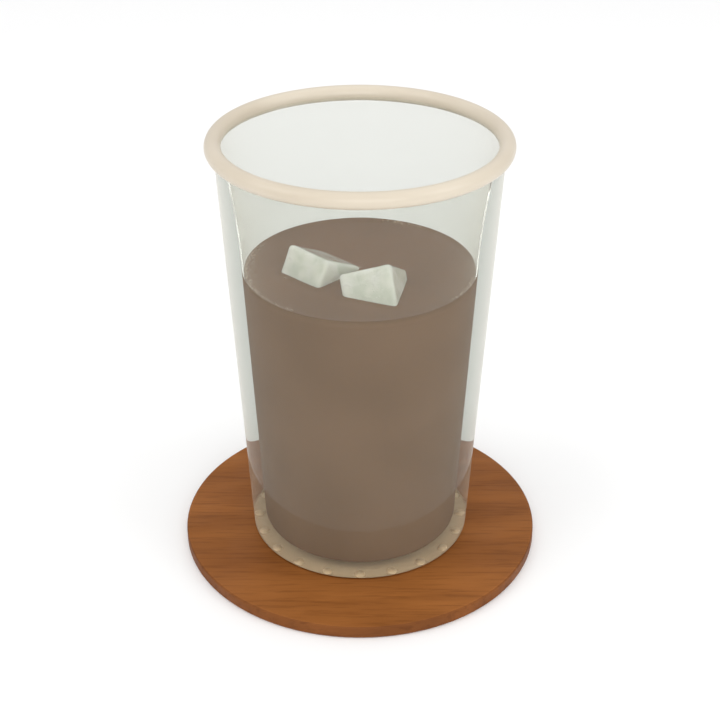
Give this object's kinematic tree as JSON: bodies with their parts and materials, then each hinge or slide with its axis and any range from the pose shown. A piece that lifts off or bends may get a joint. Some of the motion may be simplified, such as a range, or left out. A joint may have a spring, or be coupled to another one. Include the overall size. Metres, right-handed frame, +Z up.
{
  "type": "iced coffee in a glass",
  "caption": "Milky iced coffee with ice cubes in a clear tapered tumbler with a rolled cream rim, standing on a round wooden coaster.",
  "frame": {"origin": "centre of the coaster's underside", "axes": "+Z up along the tumbler's axis, -Y towards the side where both ice cubes show, +X to the right seen from there"},
  "size_m": [0.1086, 0.1086, 0.1306],
  "materials": {
    "coaster_wood": "satin oiled",
    "tumbler_glass": "clear, pale grey-green",
    "rim_cream": "gloss enamel",
    "coffee_drink": "opaque milky liquid",
    "ice": "cloudy, wet"
  },
  "bodies": {
    "root": {"coaster": "coaster_wood", "glass": "tumbler_glass", "rim": "rim_cream", "coffee": "coffee_drink", "ice_left": "ice", "ice_right": "ice"}
  },
  "joints": []
}
